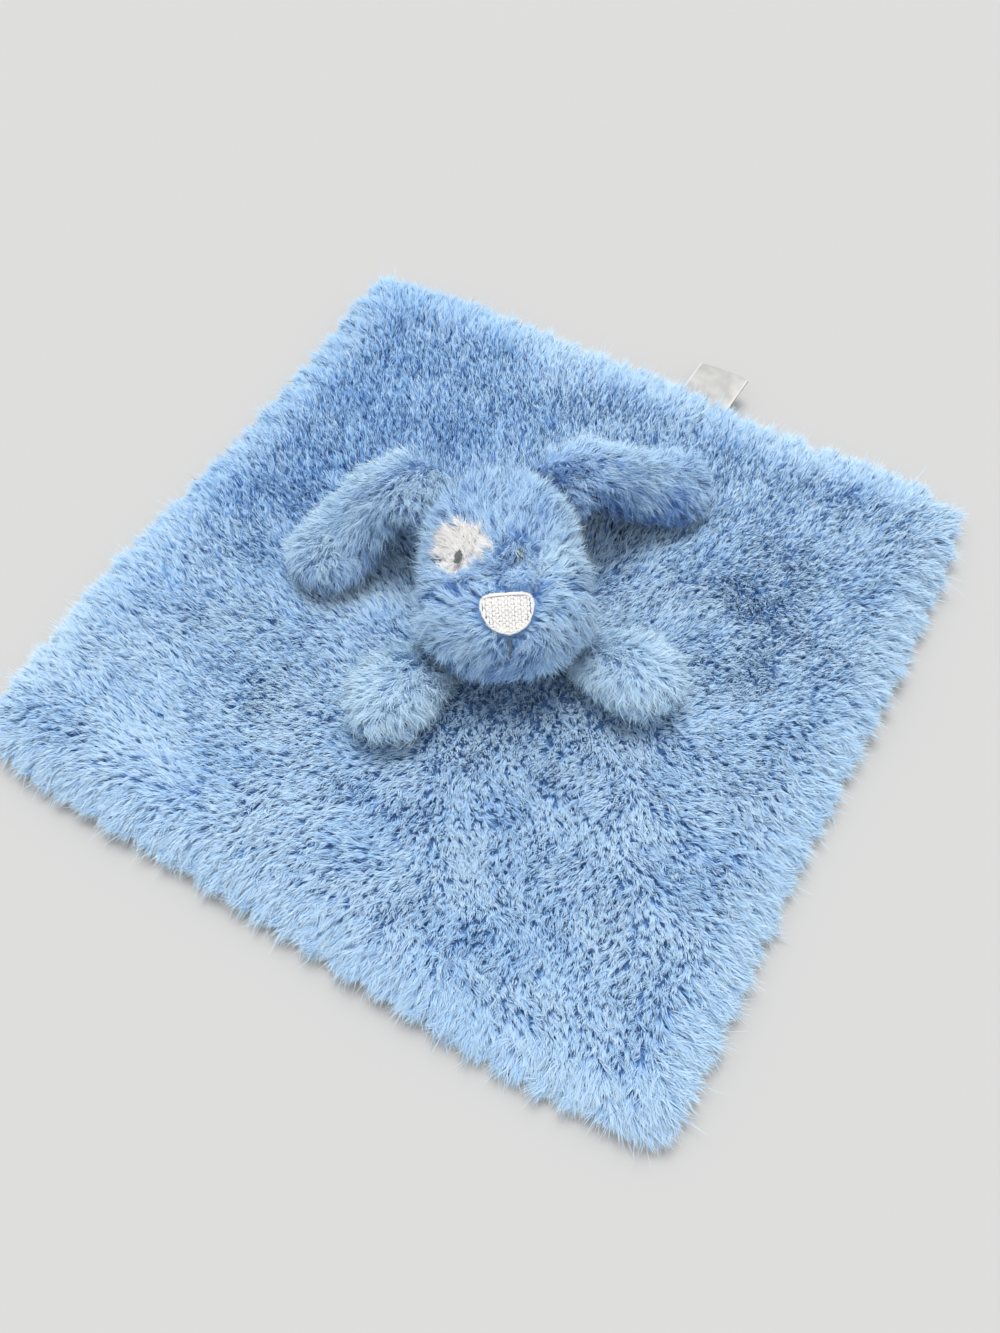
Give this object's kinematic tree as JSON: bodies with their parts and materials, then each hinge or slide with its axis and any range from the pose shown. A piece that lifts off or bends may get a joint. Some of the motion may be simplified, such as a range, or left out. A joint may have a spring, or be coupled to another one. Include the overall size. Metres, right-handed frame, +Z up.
{
  "type": "comfort blanket lovey",
  "caption": "Square plush comfort blanket with a stuffed puppy head, long floppy ears and paws sewn to its middle, embroidered face details and a folded satin care label.",
  "frame": {"origin": "middle of the blanket's underside, on the surface that the blanket lies on", "axes": "+X along the front edge of the blanket, +Y towards the rear edge that holds the care label, +Z up; the puppy's chin points between -Y and +X"},
  "size_m": [0.3466, 0.3701, 0.0728],
  "materials": {
    "plush": "powder blue long-pile plush",
    "pale_plush": "paler blue long-pile plush",
    "white_plush": "short white plush",
    "fibre": "white polyester filling",
    "blue_thread": "blue sewing thread",
    "white_thread": "white embroidery thread",
    "grey_thread": "grey embroidery thread",
    "satin": "white satin tape"
  },
  "bodies": {
    "blanket": {"blanket_bottom_panel": "plush", "blanket_top_panel": "plush", "edge_seam_thread": "blue_thread", "neck_stub": "pale_plush", "neck_stitching": "blue_thread"},
    "head": {"muzzle_cover": "pale_plush", "forehead_cover": "pale_plush", "head_back_cover": "pale_plush", "head_stuffing": "fibre", "nose_embroidery": "white_thread", "nose_border": "white_thread", "mouth_line": "grey_thread", "eye_left": "grey_thread", "eye_right": "grey_thread", "eye_patch": "white_plush"},
    "ear_left": {"ear_left_upper_cover": "pale_plush", "ear_left_under_cover": "pale_plush", "ear_left_stuffing": "fibre"},
    "ear_right": {"ear_right_upper_cover": "pale_plush", "ear_right_under_cover": "pale_plush", "ear_right_stuffing": "fibre"},
    "paw_left": {"paw_left_upper_cover": "pale_plush", "paw_left_under_cover": "pale_plush", "paw_left_stuffing": "fibre"},
    "paw_right": {"paw_right_upper_cover": "pale_plush", "paw_right_under_cover": "pale_plush", "paw_right_stuffing": "fibre"},
    "label": {"care_label": "satin"}
  },
  "joints": [
    {"name": "head_lift", "type": "hinge", "parent": "blanket", "child": "head", "pos_m": [0.02509, -0.02741, 0.0101], "axis": [0.8191, 0.5736, 0], "range_deg": [0, 12]},
    {"name": "ear_left_lift", "type": "hinge", "parent": "head", "child": "ear_left", "pos_m": [-0.04393, 0.01942, 0.05158], "axis": [0.1303, 0.9915, 0], "range_deg": [0, 75]},
    {"name": "ear_right_lift", "type": "hinge", "parent": "head", "child": "ear_right", "pos_m": [0.00462, 0.05349, 0.05158], "axis": [0.9569, -0.2905, 0], "range_deg": [0, 75]},
    {"name": "paw_left_lift", "type": "hinge", "parent": "blanket", "child": "paw_left", "pos_m": [-0.00868, -0.03409, 0.0141], "axis": [-0.9974, 0.0714, 0], "range_deg": [0, 15]},
    {"name": "paw_right_lift", "type": "hinge", "parent": "blanket", "child": "paw_right", "pos_m": [0.04292, 0.00205, 0.0141], "axis": [-0.1781, -0.984, 0], "range_deg": [0, 15]},
    {"name": "label_lift", "type": "hinge", "parent": "blanket", "child": "label", "pos_m": [0.025, 0.17206, 0.00738], "axis": [1, 0, 0], "range_deg": [0, 60]}
  ]
}
